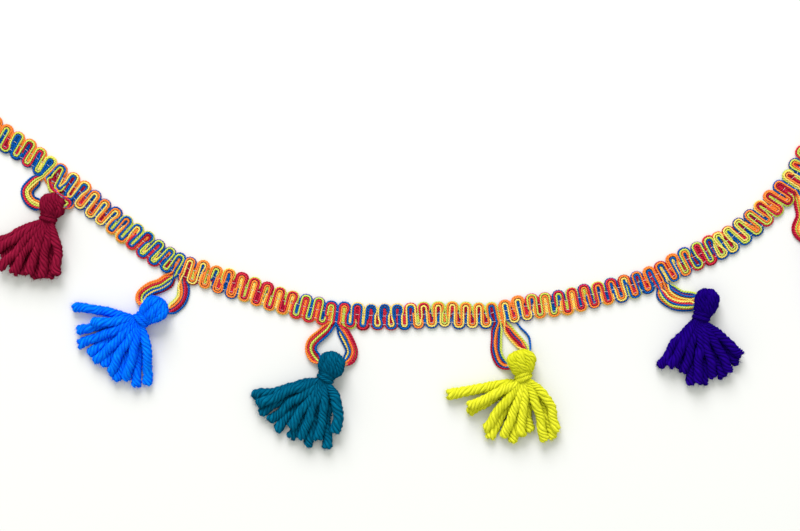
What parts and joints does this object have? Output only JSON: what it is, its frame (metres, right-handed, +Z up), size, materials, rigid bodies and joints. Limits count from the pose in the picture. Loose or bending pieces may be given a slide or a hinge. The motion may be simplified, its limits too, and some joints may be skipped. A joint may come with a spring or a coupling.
{
  "type": "tassel trim",
  "caption": "Scalloped multicolour braid trim lying in a shallow swag, with yarn tassels in different colours hung on loops of its own strands.",
  "frame": {"origin": "on the braid's flat underside, on its centre line, at the lowest point of the swag", "axes": "+X along the trim from left to right, +Y from the tassels towards the plain upper edge, +Z up from the surface that it lies on"},
  "size_m": [0.3921, 0.148, 0.0086],
  "materials": {
    "braid_strands": "twisted strands of red, orange, pale yellow, lime and blue, softly lustrous",
    "maroon_yarn": "thick soft plied maroon yarn, matt with a light fuzz",
    "sky_yarn": "thick soft plied sky yarn, matt with a light fuzz",
    "teal_yarn": "thick soft plied teal yarn, matt with a light fuzz",
    "chartreuse_yarn": "thick soft plied chartreuse yarn, matt with a light fuzz",
    "violet_yarn": "thick soft plied violet yarn, matt with a light fuzz",
    "lilac_yarn": "thick soft plied lilac yarn, matt with a light fuzz"
  },
  "bodies": {
    "root": {"braid": "braid_strands", "loop_1": "braid_strands", "tassel_1": "maroon_yarn", "tie_1": "maroon_yarn", "loop_2": "braid_strands", "tassel_2": "sky_yarn", "tie_2": "sky_yarn", "loop_3": "braid_strands", "tassel_3": "teal_yarn", "tie_3": "teal_yarn", "loop_4": "braid_strands", "tassel_4": "chartreuse_yarn", "tie_4": "chartreuse_yarn", "loop_5": "braid_strands", "tassel_5": "violet_yarn", "tie_5": "violet_yarn", "loop_6": "braid_strands", "tassel_6": "lilac_yarn", "tie_6": "lilac_yarn"}
  },
  "joints": []
}
